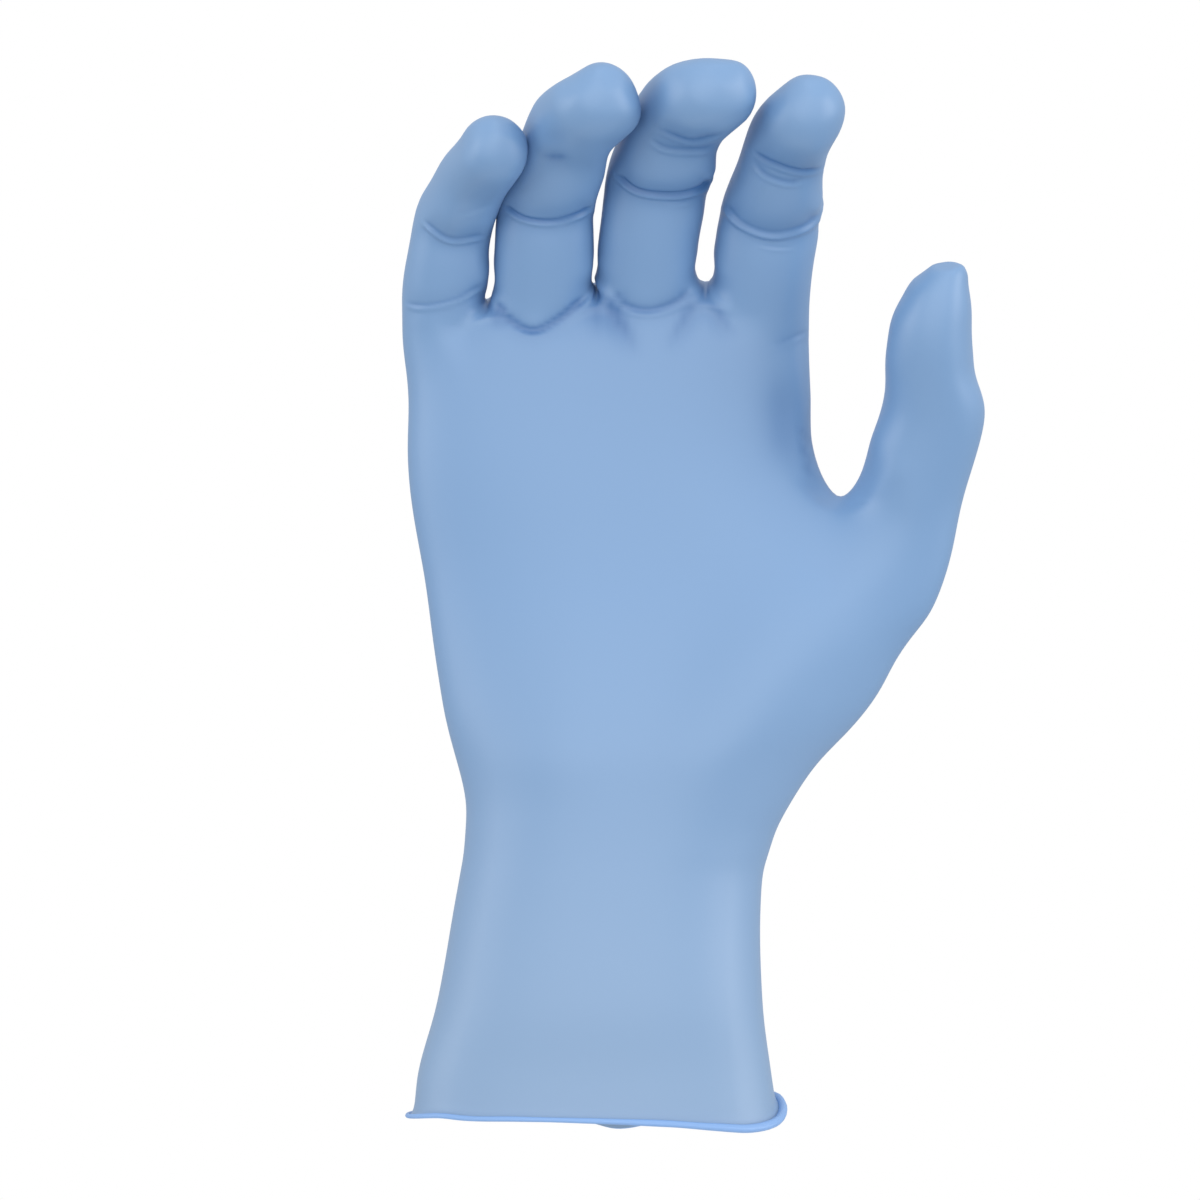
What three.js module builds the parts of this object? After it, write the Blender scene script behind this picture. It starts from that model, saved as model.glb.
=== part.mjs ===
// A thin nitrile glove that keeps the shape of the right hand it is worn on, in millimetres.
// The fingers point up (+Z), the palm faces -Y and the thumb is on the +X side.
// The origin is the middle of the wrist opening.
// The real glove is dipped in one go, so it is one solid: palm, back, wrist, cuff, four fingers and a thumb,
// hollow all through and open at the cuff, whose edge is rolled into a bead.
import * as THREE from 'three';

// Driving sizes
const wall = 1;
const beadRadius = 0.9;
const beadStandOff = 1.5;
const cuffLength = 53;
const palmLength = 113;
const thumbHeight = 72;
const webGap = 1.6;
const foldDepth = 0.9;
const foldWidth = 2.6;
const rimLift = 1;
const rimReach = 16;
const crotchDip = 3.5;
const cuff = { width: 73, depth: 31 };
const wrist = { width: 61.5, depth: 36 };
const palm = { depth: 28 };

// Fingers, from the little finger to the index finger, and the thumb.
// lengths run from web to middle joint, to end joint, to tip. tilt is how far each stretch leans
// to the palm side and lean how far it leans to the thumb's side, both in degrees from upright.
// slim is the breadth beyond the middle joint, and dome the length of the round tip, as shares of breadth.
// folds are the depths of the folds at the web, the middle joint and the end joint, as shares of foldDepth.
// nail is how far the tip's peak lies to the right and to the back, as shares of breadth.
const fingers = [
  { name: 'pinky', breadth: 17, depth: 15.4, lengths: [19, 15.5, 19.5], tilt: [24, 48, 58], lean: [8, 26, 40],
    slim: 0.85, dome: 0.55, folds: [0.8, 1, 0.4], nail: [0, 0.08] },
  { name: 'ring', breadth: 20.2, depth: 17.6, lengths: [22, 18.5, 24], tilt: [26, 48, 58], lean: [4, 21, 41],
    slim: 0.94, dome: 0.5, folds: [1.3, 1, 0.6], nail: [0, 0.08] },
  { name: 'middle', breadth: 20.4, depth: 17.8, lengths: [24, 18, 23], tilt: [26, 50, 60], lean: [3, 22, 52],
    slim: 1, dome: 0.5, folds: [1.2, 1.2, 1.2], nail: [0, 0.08] },
  { name: 'index', breadth: 20.4, depth: 17.8, lengths: [18.5, 20, 21], tilt: [26, 48, 58], lean: [7, 14, 29],
    slim: 0.87, dome: 0.5, folds: [0.3, 1, 1], nail: [0, 0.08] },
];
const thumb = { breadth: 21, depth: 20, lengths: [8, 12.5, 31], tilt: [10, 24, 26],
  lean: [22, 18, -6], slim: 1, dome: 0.82, folds: [0, 0, 0.4], nail: [0.27, 0] };

// How far each finger's root stands below the highest web and to the palm side, as shares of its breadth.
const roots = { pinky: [0.25, 0.1], ring: [0.1, 0.12], middle: [0, 0.12], index: [0.08, 0.12] };
// How far the thumb's root stands to the right and to the palm side, as shares of the palm's width and depth.
const thumbRootAt = { right: 0.748, forward: 0.36 };
// How far along the finger a joint's bend reaches each way, as a share of its breadth.
const bendReach = 0.35;
// Places along a finger, in joints, between which it slims.
const slimFrom = 0.7;
const slimTo = 1.9;

// Girth along a finger. at counts joints: 0 at the web, 1 and 2 at the joints, 3 at the tip.
// breadth, front and back are shares of the finger's breadth and depth.
const fingerShape = [
  { at: 0, breadth: 1, front: 1, back: 1 },
  { at: 0.5, breadth: 0.99, front: 1.02, back: 0.98 },
  { at: 1, breadth: 1.01, front: 0.96, back: 1.04 },
  { at: 1.5, breadth: 0.98, front: 1, back: 0.96 },
  { at: 2, breadth: 0.98, front: 0.93, back: 0.96 },
  { at: 2.5, breadth: 0.97, front: 0.95, back: 0.82 },
  { at: 3, breadth: 0.92, front: 0.86, back: 0.72 },
];
const thumbShape = [
  { at: 0, breadth: 1.12, front: 1.02, back: 1.04 },
  { at: 1, breadth: 1.05, front: 1.02, back: 1.02 },
  { at: 1.5, breadth: 1.03, front: 1, back: 1 },
  { at: 2, breadth: 0.98, front: 0.98, back: 1 },
  { at: 2.3, breadth: 0.86, front: 0.98, back: 0.9 },
  { at: 2.6, breadth: 0.84, front: 0.98, back: 0.86 },
  { at: 3, breadth: 0.8, front: 0.86, back: 0.76 },
];

// Sections of the cuff and palm. at is -1 at the rim, 0 at the wrist and 1 at the highest web.
// left and right are shares of the width, and front and back shares of the depth, of what the row follows.
// front and back say how far the palm's side and the back stand out at five places from left to right.
const palmSize = { width: palmWidth(), depth: palm.depth };
const even = (share) => [share, share, share, share, share];
const sections = [
  { at: -1, of: cuff, left: -0.497, right: 0.503, front: even(0.5), back: even(0.5) },
  { at: -0.83, of: cuff, left: -0.484, right: 0.487, front: even(0.52), back: even(0.52) },
  { at: -0.57, of: cuff, left: -0.433, right: 0.465, front: even(0.57), back: even(0.57) },
  { at: -0.2, of: wrist, left: -0.457, right: 0.546, front: [0.46, 0.48, 0.48, 0.48, 0.46], back: even(0.49) },
  { at: 0, of: wrist, left: -0.427, right: 0.573, front: [0.44, 0.46, 0.46, 0.47, 0.46], back: even(0.49) },
  { at: 0.09, of: wrist, left: -0.42, right: 0.645, front: [0.45, 0.5, 0.49, 0.52, 0.48],
    back: [0.45, 0.48, 0.47, 0.44, 0.38] },
  { at: 0.165, of: palmSize, left: -0.335, right: 0.55, front: [0.56, 0.65, 0.63, 0.7, 0.62],
    back: [0.55, 0.59, 0.57, 0.5, 0.4] },
  { at: 0.235, of: palmSize, left: -0.36, right: 0.64, front: [0.54, 0.62, 0.61, 0.72, 0.62],
    back: [0.5, 0.56, 0.55, 0.42, 0.3] },
  { at: 0.34, of: palmSize, left: -0.385, right: 0.745, front: [0.5, 0.56, 0.55, 0.72, 0.62],
    back: [0.47, 0.54, 0.52, 0.34, 0.18] },
  { at: 0.45, of: palmSize, left: -0.41, right: 0.85, front: [0.47, 0.51, 0.5, 0.67, 0.71],
    back: [0.46, 0.52, 0.49, 0.32, 0.1] },
  { at: 0.545, of: palmSize, left: -0.43, right: 0.88, front: [0.46, 0.49, 0.48, 0.58, 0.77],
    back: [0.46, 0.5, 0.47, 0.32, 0.04] },
  { at: 0.63, of: palmSize, left: -0.452, right: 0.895, front: [0.46, 0.48, 0.48, 0.51, 0.8],
    back: [0.45, 0.49, 0.47, 0.33, 0.01] },
];
const upperSections = [
  { at: 0.63, of: palmSize, left: -0.452, right: 0.575, front: [0.46, 0.48, 0.48, 0.48, 0.46],
    back: [0.45, 0.48, 0.48, 0.44, 0.36] },
  { at: 0.72, of: palmSize, left: -0.457, right: 0.535, front: [0.46, 0.48, 0.48, 0.49, 0.46],
    back: [0.45, 0.48, 0.48, 0.46, 0.42] },
  { at: 0.85, of: palmSize, left: -0.463, right: 0.522, front: [0.46, 0.5, 0.5, 0.5, 0.48],
    back: [0.43, 0.46, 0.47, 0.46, 0.43] },
  { at: 1, of: palmSize, left: -0.475, right: 0.525, front: [0.44, 0.47, 0.48, 0.47, 0.46],
    back: [0.27, 0.3, 0.31, 0.3, 0.28] },
];
const sectionRoundness = 2.3;
const fingerRoundness = 2.3;
const domeRoundness = 2.3;

// Heights of the rings of points, counted as at above, and their places along a finger.
const lowerRings = [-0.93, -0.8, -0.65, -0.5, -0.35, -0.2, -0.08, 0, 0.05, 0.1, 0.15, 0.2, 0.25, 0.3, 0.36, 0.42,
  0.48, 0.535, 0.585];
const upperRings = [0.665, 0.72, 0.78, 0.84, 0.895];
const fingerRings = [0.12, 0.3, 0.5, 0.7, 0.88, 1, 1.12, 1.35, 1.6, 1.85, 2, 2.15, 2.4, 2.62, 2.8, 2.93];
const thumbRings = [0.35, 0.9, 1.4, 1.75, 2, 2.12, 2.27, 2.42, 2.57, 2.7, 2.82, 2.93];

// Bead: the turns of its outline, in degrees, from the outside of the film round to the inside.
const beadTurns = [60, 15, -30, -75, -120, -165, 150];
// Height of the rim round the opening, as shares of rimLift, from the front's left end counter-clockwise.
const rimWave = [-0.1, 0.3, -0.4, -1.6, 3, -1.4, -1, 0];

const up = new THREE.Vector3(0, 0, 1);
const degrees = Math.PI / 180;
const mix = THREE.MathUtils.lerp;

function palmWidth() {
  let width = 3 * webGap;
  for (const finger of fingers) width += finger.breadth;
  return width;
}

// Smooth value of one column of a table at a place between its rows
function between(rows, read, at) {
  const last = rows.length - 1;
  let row = 0;
  while (row < last - 1 && at > rows[row + 1].at) row += 1;
  const slope = (k) => {
    const a = Math.max(k - 1, 0);
    const b = Math.min(k + 1, last);
    return (read(rows[b]) - read(rows[a])) / (rows[b].at - rows[a].at);
  };
  const span = rows[row + 1].at - rows[row].at;
  const t = THREE.MathUtils.clamp((at - rows[row].at) / span, 0, 1);
  const start = read(rows[row]);
  const end = read(rows[row + 1]);
  return (
    (2 * t ** 3 - 3 * t ** 2 + 1) * start +
    (t ** 3 - 2 * t ** 2 + t) * span * slope(row) +
    (3 * t ** 2 - 2 * t ** 3) * end +
    (t ** 3 - t ** 2) * span * slope(row + 1)
  );
}

// Smooth value of a short evenly spaced list at a share of its length
function along(values, share) {
  const rows = values.map((value, k) => ({ at: k / (values.length - 1), value }));
  return between(rows, (row) => row.value, share);
}

function heightAt(at) {
  return at < 0 ? cuffLength * (1 + at) : cuffLength + palmLength * at;
}

// Points of one section of the cuff or palm, for a ring of columns
function sectionRing(rows, at, columns) {
  const left = between(rows, (row) => row.left * row.of.width, at);
  const right = between(rows, (row) => row.right * row.of.width, at);
  const middle = (left + right) / 2;
  const reach = (right - left) / 2;
  const front = (share) => between(rows, (row) => along(row.front, share) * row.of.depth, at);
  const back = (share) => between(rows, (row) => along(row.back, share) * row.of.depth, at);
  const mid = (share) => (back(share) - front(share)) / 2;
  const half = (share) => (back(share) + front(share)) / 2;
  const rounded = (share) => (1 - Math.abs(share) ** sectionRoundness) ** (1 / sectionRoundness);
  return columns.map(({ side, share }) => {
    const place = new THREE.Vector3(0, 0, heightAt(at));
    if (side === 'front' || side === 'back') {
      place.x = mix(left, right, share);
      place.y = mid(share) + (side === 'front' ? -1 : 1) * half(share) * rounded(2 * share - 1);
    } else {
      const end = side === 'left' ? 0 : 1;
      place.x = middle + (side === 'left' ? -1 : 1) * reach * rounded(share);
      place.y = mid(end) + share * half(end);
    }
    return place;
  });
}

// Columns of a ring: the front from left to right, the right end, the back, and the left end
const endShare = 0.08;
const sideShare = 0.36;
function ringColumns(count) {
  const across = Array.from({ length: count }, (_, k) => mix(endShare, 1 - endShare, k / (count - 1)));
  const turn = [-sideShare, 0, sideShare];
  return [
    ...across.map((share) => ({ side: 'front', share })),
    ...turn.map((share) => ({ side: 'right', share })),
    ...across.toReversed().map((share) => ({ side: 'back', share })),
    ...turn.toReversed().map((share) => ({ side: 'left', share })),
  ];
}

// The middle line of a finger: where it is and where it points at each place along it
const lineSteps = 60;
function middleLine(root, digit) {
  const { lengths, tilt, lean } = digit;
  const joints = [lengths[0], lengths[0] + lengths[1]];
  const total = joints[1] + lengths[2];
  const bend = bendReach * digit.breadth;
  const angleAt = (angles, travelled) => {
    const [first, second] = joints.map((joint) => THREE.MathUtils.smoothstep(travelled, joint - bend, joint + bend));
    return mix(mix(angles[0], angles[1], first), angles[2], second) * degrees;
  };
  const pointing = (travelled) => {
    const lower = angleAt(tilt, travelled);
    const aside = angleAt(lean, travelled);
    return new THREE.Vector3(Math.cos(lower) * Math.sin(aside), -Math.sin(lower), Math.cos(lower) * Math.cos(aside));
  };
  return (at) => {
    const whole = Math.min(Math.floor(at), 2);
    const travelled = [0, ...joints][whole] + (at - whole) * lengths[whole];
    const place = root.clone();
    for (let step = 0; step < lineSteps; step += 1) {
      place.addScaledVector(pointing(((step + 0.5) / lineSteps) * travelled), travelled / lineSteps);
    }
    return { place, direction: pointing(travelled), toTip: total - travelled };
  };
}

// Points round a finger at one place along it, from the front's left point counter-clockwise, at these degrees
const fingerTurns = [-120, -90, -60, -30, 0, 30, 60, 90, 120, 150, 180, 210];
function fingerRing(digit, shape, line, at) {
  const { place, direction, toTip } = line(at);
  const across = new THREE.Vector3(1, 0, 0).addScaledVector(direction, -direction.x).normalize();
  const backward = direction.clone().cross(across);
  const nearTip = THREE.MathUtils.clamp(1 - toTip / (digit.dome * digit.breadth), 0, 1);
  const dome = (1 - nearTip ** domeRoundness) ** (1 / domeRoundness);
  const slim = mix(1, digit.slim, THREE.MathUtils.smoothstep(at, slimFrom, slimTo));
  const breadth = between(shape, (row) => row.breadth, at) * digit.breadth * 0.5 * slim * dome;
  const front = between(shape, (row) => row.front, at) * digit.depth * 0.5 * dome;
  const back = between(shape, (row) => row.back, at) * digit.depth * 0.5 * dome;
  return fingerTurns.map((turn) => {
    const cosine = Math.cos(turn * degrees);
    const sine = Math.sin(turn * degrees);
    const swell = (Math.abs(cosine) ** fingerRoundness + Math.abs(sine) ** fingerRoundness) ** (-1 / fingerRoundness);
    const groove = sine < 0 ? foldDepth * sine * sine * foldAt(digit, at) : 0;
    const aside = breadth * swell * cosine + digit.nail[0] * digit.breadth * (1 - dome);
    const behind = ((sine < 0 ? front : back) * swell - groove) * sine + digit.nail[1] * digit.breadth * (1 - dome);
    return place.clone().addScaledVector(across, aside).addScaledVector(backward, behind);
  });
}

// Depth of the folds across a finger's front, from 0 to 1, at one place along it
function foldAt(digit, at) {
  let deepest = 0;
  digit.folds.forEach((share, joint) => {
    const away = Math.abs(at - joint) * digit.lengths[joint];
    deepest = Math.max(deepest, share * Math.exp(-((away / foldWidth) ** 2)));
  });
  return deepest;
}

// The net of points and four-sided faces that the outside is made of
const points = [];
const faces = [];

function addPoints(places) {
  return places.map((place) => points.push(place.clone()) - 1);
}

function joinRings(lower, upper) {
  lower.forEach((_, k) => {
    const next = (k + 1) % lower.length;
    faces.push([lower[k], lower[next], upper[next], upper[k]]);
  });
}

function average(...places) {
  const sum = new THREE.Vector3();
  for (const place of places) sum.add(place);
  return sum.divideScalar(places.length);
}

// Closes a ring of twelve with three by three faces
function closeTip(ring, peak) {
  const corner = (a, b, c) => average(points[ring[a]], points[ring[b]], peak, peak, points[ring[c]]);
  const inner = addPoints([corner(0, 1, 11), corner(2, 3, 4), corner(5, 6, 7), corner(8, 9, 10)]);
  const [a, b, c, d] = inner;
  faces.push([ring[0], ring[1], a, ring[11]], [ring[1], ring[2], b, a], [ring[2], ring[3], ring[4], b]);
  faces.push([ring[4], ring[5], c, b], [ring[5], ring[6], ring[7], c], [ring[7], ring[8], d, c]);
  faces.push([ring[8], ring[9], ring[10], d], [ring[10], ring[11], a, d], [a, b, c, d]);
}

// A finger or the thumb, from its root ring to its tip
function growFinger(rootRing, digit, shape, line, places) {
  let ring = rootRing;
  for (const at of places) {
    const next = addPoints(fingerRing(digit, shape, line, at));
    joinRings(ring, next);
    ring = next;
  }
  closeTip(ring, line(3).place);
}

function neighboursOf(list) {
  const near = points.map(() => new Set());
  for (const face of list) {
    face.forEach((point, k) => {
      near[point].add(face[(k + 1) % 4]);
      near[face[(k + 1) % 4]].add(point);
    });
  }
  return near;
}

// Eases chosen points towards the middle of their neighbours
function relax(chosen, rounds) {
  const near = neighboursOf(faces);
  for (let round = 0; round < rounds; round += 1) {
    const moved = chosen.map((point) => average(...[...near[point]].map((k) => points[k])).lerp(points[point], 0.5));
    chosen.forEach((point, k) => points[point].copy(moved[k]));
  }
}

// Roots of the fingers, side by side between the webs
const fingerLines = [];
{
  let edge = upperSections.at(-1).left * palmSize.width;
  for (const finger of fingers) {
    const [drop, forward] = roots[finger.name];
    const x = edge + finger.breadth / 2;
    const root = new THREE.Vector3(x, -forward * finger.breadth, heightAt(1) - drop * finger.breadth);
    fingerLines.push(middleLine(root, finger));
    edge += finger.breadth + webGap;
  }
}
const thumbRoot = new THREE.Vector3(0, 0, cuffLength + thumbHeight);
thumbRoot.x = thumbRootAt.right * palmSize.width;
thumbRoot.y = -thumbRootAt.forward * palmSize.depth;
const thumbLine = middleLine(thumbRoot, thumb);

// Cuff and lower palm, up to the crotch of the thumb
const palmColumns = ringColumns(15);
const wideColumns = ringColumns(19);
const rimRise = (k) => along([...rimWave, rimWave[0]], k / wideColumns.length) * rimLift;
const lower = lowerRings.map((at) => {
  const ring = sectionRing(sections, at, wideColumns);
  const fade = 1 - THREE.MathUtils.smoothstep(heightAt(at), 0, rimReach);
  ring.forEach((place, k) => place.setZ(place.z + rimRise(k) * fade));
  return addPoints(ring);
});
lower.slice(1).forEach((ring, k) => joinRings(lower[k], ring));

// The crotch of the thumb, where the wide ring parts into the palm's ring and the thumb's
const crotchAt = thumbHeight / palmLength;
const palmSplit = sectionRing(upperSections, crotchAt, palmColumns);
const thumbSplit = fingerRing(thumb, thumbShape, thumbLine, 0);
const crotch = [
  average(palmSplit[15], thumbSplit[11]),
  average(palmSplit[16], thumbSplit[10]),
  average(palmSplit[17], thumbSplit[9]),
];
for (const place of [crotch[0], crotch[2]]) place.z -= crotchDip;
const split = addPoints([
  ...palmSplit.slice(0, 15), crotch[0], ...thumbSplit.slice(0, 9), crotch[2], ...palmSplit.slice(18),
]);
const [crotchMiddle] = addPoints([crotch[1].addScaledVector(up, -crotchDip)]);
joinRings(lower.at(-1), split);
const palmRoot = [...split.slice(0, 16), crotchMiddle, ...split.slice(25)];
const thumbStart = [...split.slice(16, 25), split[25], crotchMiddle, split[15]];
growFinger(thumbStart, thumb, thumbShape, thumbLine, thumbRings);

// Upper palm, up to the webs, where the palm's ring parts into four fingers
const fingerRoots = fingers.map((finger, k) => fingerRing(finger, fingerShape, fingerLines[k], 0));
const webs = [0, 1, 2].map((k) => [
  average(fingerRoots[k][3], fingerRoots[k + 1][11]),
  average(fingerRoots[k][4], fingerRoots[k + 1][10]),
  average(fingerRoots[k][5], fingerRoots[k + 1][9]),
]);
const top = addPoints([
  ...fingerRoots.flatMap((ring, k) => (k < 3 ? [...ring.slice(0, 3), webs[k][0]] : ring.slice(0, 6))),
  ...[3, 2, 1, 0].flatMap((k) => (k > 0 ? [...fingerRoots[k].slice(6, 9), webs[k - 1][2]] : fingerRoots[0].slice(6))),
]);
const webMiddles = addPoints(webs.map((web) => web[1]));

// Shares across the palm at which the columns reach the fingers' roots
const topShares = top.map((point) => {
  const last = upperSections.at(-1);
  const left = last.left * palmSize.width;
  return (points[point].x - left) / ((last.right - last.left) * palmSize.width);
});
const upper = upperRings.map((at) => {
  const rise = THREE.MathUtils.smoothstep(at, crotchAt, 1);
  const columns = palmColumns.map(({ side, share }, k) =>
    side === 'front' || side === 'back' ? { side, share: mix(share, topShares[k], rise) } : { side, share });
  return addPoints(sectionRing(upperSections, at, columns));
});
joinRings(palmRoot, upper[0]);
upper.slice(1).forEach((ring, k) => joinRings(upper[k], ring));
joinRings(upper.at(-1), top);
fingers.forEach((finger, k) => {
  const front = top.slice(4 * k, 4 * k + 3);
  const back = top.slice(30 - 4 * k, 33 - 4 * k);
  const rightSide = k < 3 ? [top[4 * k + 3], webMiddles[k], top[29 - 4 * k]] : top.slice(15, 18);
  const leftSide = k > 0 ? [top[33 - 4 * k], webMiddles[k - 1], top[4 * k - 1]] : top.slice(33);
  growFinger([...front, ...rightSide, ...back, ...leftSide], finger, fingerShape, fingerLines[k], fingerRings);
});

relax([...lower.at(-1), ...split, crotchMiddle, ...upper[0]], 2);
relax([...upper.at(-1), ...top, ...webMiddles], 2);

// Outward direction at each point
function outwards(list) {
  const normals = points.map(() => new THREE.Vector3());
  for (const [a, b, c, d] of list) {
    const across = points[c].clone().sub(points[a]).cross(points[d].clone().sub(points[b]));
    for (const point of [a, b, c, d]) normals[point].add(across);
  }
  return normals.map((normal) => normal.normalize());
}

// The outside, the inside one wall further in, and the bead that joins them round the rim
function gloveGeometry() {
  const normals = outwards(faces);
  const outer = points.length;
  const places = [...points, ...points.map((point, k) => point.clone().addScaledVector(normals[k], -wall))];
  const quads = [...faces, ...faces.map(([a, b, c, d]) => [d, c, b, a].map((k) => k + outer))];
  const rim = lower[0];
  const count = rim.length;
  const bead = beadTurns.map((turn) =>
    rim.map((point, k) => {
      const outward = normals[point].clone().setZ(0).normalize();
      const centre = points[point].clone().addScaledVector(outward, beadStandOff - wall / 2);
      centre.z = rimRise(k);
      const spot = centre.addScaledVector(outward, beadRadius * Math.cos(turn * degrees));
      return places.push(spot.addScaledVector(up, beadRadius * Math.sin(turn * degrees))) - 1;
    }));
  const rings = [rim, ...bead, rim.map((point) => point + outer)];
  rings.slice(1).forEach((ring, r) => {
    ring.forEach((_, k) => {
      const next = (k + 1) % count;
      quads.push([rings[r][next], rings[r][k], ring[k], ring[next]]);
    });
  });
  const geometry = new THREE.BufferGeometry();
  geometry.setAttribute('position', new THREE.Float32BufferAttribute(places.flatMap((p) => [p.x, p.y, p.z]), 3));
  geometry.setIndex(quads.flatMap(([a, b, c, d]) => [a, b, c, a, c, d]));
  geometry.computeVertexNormals();
  return geometry;
}

const nitrile = new THREE.MeshStandardMaterial({ color: 0x98b6da, roughness: 0.5, metalness: 0 });
const glove = new THREE.Mesh(gloveGeometry(), nitrile);
glove.name = 'glove';

const group = new THREE.Group();
group.add(glove);

export default group;
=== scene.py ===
import math

import bpy
import numpy as np
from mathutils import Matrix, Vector


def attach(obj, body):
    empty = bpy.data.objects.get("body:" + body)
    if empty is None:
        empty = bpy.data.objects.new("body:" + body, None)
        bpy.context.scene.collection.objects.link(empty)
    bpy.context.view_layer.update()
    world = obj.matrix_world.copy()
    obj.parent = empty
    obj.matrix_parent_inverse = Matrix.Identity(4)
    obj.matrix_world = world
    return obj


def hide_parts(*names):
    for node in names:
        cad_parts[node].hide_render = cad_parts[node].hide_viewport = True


# A thin nitrile exam glove that keeps the shape of the right hand it is worn on.
# Lengths are millimetres until a mesh is made. The fingers point up (+Z), the palm faces -Y,
# the thumb is on the +X side, and the origin is the middle of the wrist opening.
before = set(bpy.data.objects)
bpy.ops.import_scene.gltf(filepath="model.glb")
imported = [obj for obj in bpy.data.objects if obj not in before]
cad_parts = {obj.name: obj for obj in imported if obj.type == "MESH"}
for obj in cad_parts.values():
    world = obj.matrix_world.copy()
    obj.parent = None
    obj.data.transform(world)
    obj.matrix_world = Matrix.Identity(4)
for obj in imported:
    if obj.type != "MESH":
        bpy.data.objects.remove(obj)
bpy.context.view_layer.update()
MM = 0.001

# Driving sizes, the same as those of the part in the frame
CUFF_LENGTH = 53
PALM_LENGTH = 113
THUMB_HEIGHT = 72
WEB_GAP = 1.6
RIM_REACH = 16
CROTCH_DIP = 3.5
CUFF = {"width": 73, "depth": 31}
WRIST = {"width": 61.5, "depth": 36}
PALM_DEPTH = 28
ROUNDNESS = 2.3

# Sizes of the film's detail: the film's thickness, how round a fingertip's dome is (2 is a circle),
# and how far the film in front of a web stands to the palm side of the web's own front
FILM = 0.8
DOME_ROUNDNESS = 2
WEB_FORWARD = 3

# Where the camera stands: this far in front of the origin, level, at this place across and up.
# VIEW_WIDTH is how much it sees across at the origin.
CAMERA_DISTANCE = 1500
CAMERA_ACROSS = 1.2
CAMERA_UP = 103.8
VIEW_WIDTH = 241.8
SENSOR_WIDTH = 36

# Fingers, from the little finger to the index finger, and the thumb.
# lengths run from web to middle joint, to end joint, to tip. tilt is how far each stretch leans
# to the palm side and lean how far it leans to the thumb's side, both in degrees from upright.
# slim is the breadth beyond the middle joint, and dome the length of the round tip, as shares of breadth.
# nail is how far the tip's peak lies to the right and to the back, as shares of breadth.
# root is how far the root stands below the highest web and to the palm side, as shares of breadth.
FINGERS = [
    {"breadth": 17, "depth": 15.4, "lengths": [19, 15.5, 19.5], "tilt": [24, 48, 58], "lean": [8, 26, 40],
     "slim": 0.85, "dome": 0.55, "nail": [0, 0.08], "root": [0.25, 0.12]},
    {"breadth": 20.2, "depth": 17.6, "lengths": [22, 18.5, 24], "tilt": [26, 48, 58], "lean": [4, 21, 41],
     "slim": 0.94, "dome": 0.5, "nail": [0, 0.08], "root": [0.1, 0.17]},
    {"breadth": 20.4, "depth": 17.8, "lengths": [24, 18, 23], "tilt": [26, 50, 60], "lean": [3, 22, 52],
     "slim": 1, "dome": 0.5, "nail": [0, 0.08], "root": [0, 0.17]},
    {"breadth": 20.4, "depth": 17.8, "lengths": [18.5, 20, 21], "tilt": [26, 48, 58], "lean": [7, 14, 29],
     "slim": 0.87, "dome": 0.5, "nail": [0, 0.08], "root": [0.08, 0.15]},
]
THUMB = {"breadth": 21, "depth": 20, "lengths": [8, 12.5, 31], "tilt": [10, 24, 26], "lean": [22, 18, -6],
         "slim": 1, "dome": 0.82, "nail": [0.27, 0]}
# Where the thumb's root stands, as shares of the palm's width and depth
THUMB_ROOT = {"right": 0.748, "forward": 0.36}
# How far a joint's bend reaches to each side of it, as a share of breadth
BEND_REACH = 0.35
# Between which places along a finger it slims, counted as at in FINGER_SHAPE
SLIM_FROM = 0.7
SLIM_TO = 1.9
# In how many short steps a finger's middle line is added up
LINE_STEPS = 60

# Girth along a finger. at counts joints: 0 at the web, 1 and 2 at the joints, 3 at the tip.
# The other columns are breadth, front and back, as shares of the finger's breadth and depth.
FINGER_SHAPE = {
    "at": [0, 0.5, 1, 1.5, 2, 2.5, 3],
    "breadth": [1, 0.99, 1.01, 0.98, 0.98, 0.97, 0.92],
    "front": [1, 1.02, 0.96, 1, 0.93, 0.95, 0.86],
    "back": [1, 0.98, 1.04, 0.96, 0.96, 0.82, 0.72],
}
THUMB_SHAPE = {
    "at": [0, 1, 1.5, 2, 2.3, 2.6, 3],
    "breadth": [1.12, 1.05, 1.03, 0.98, 0.86, 0.84, 0.8],
    "front": [1.02, 1.02, 1, 0.98, 0.98, 0.98, 0.86],
    "back": [1.04, 1.02, 1, 1, 0.9, 0.86, 0.76],
}

# Sections of the cuff and palm. at is -1 at the rim, 0 at the wrist and 1 at the highest web.
# left and right are shares of the width, and front and back shares of the depth, of what the row follows.
# front and back say how far the palm's side and the back stand out at five places from left to right.
PALM = {"width": sum(finger["breadth"] for finger in FINGERS) + 3 * WEB_GAP, "depth": PALM_DEPTH}


def row(at, of, left, right, front, back):
    return {"at": at, "of": of, "left": left, "right": right, "front": front, "back": back}


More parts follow.
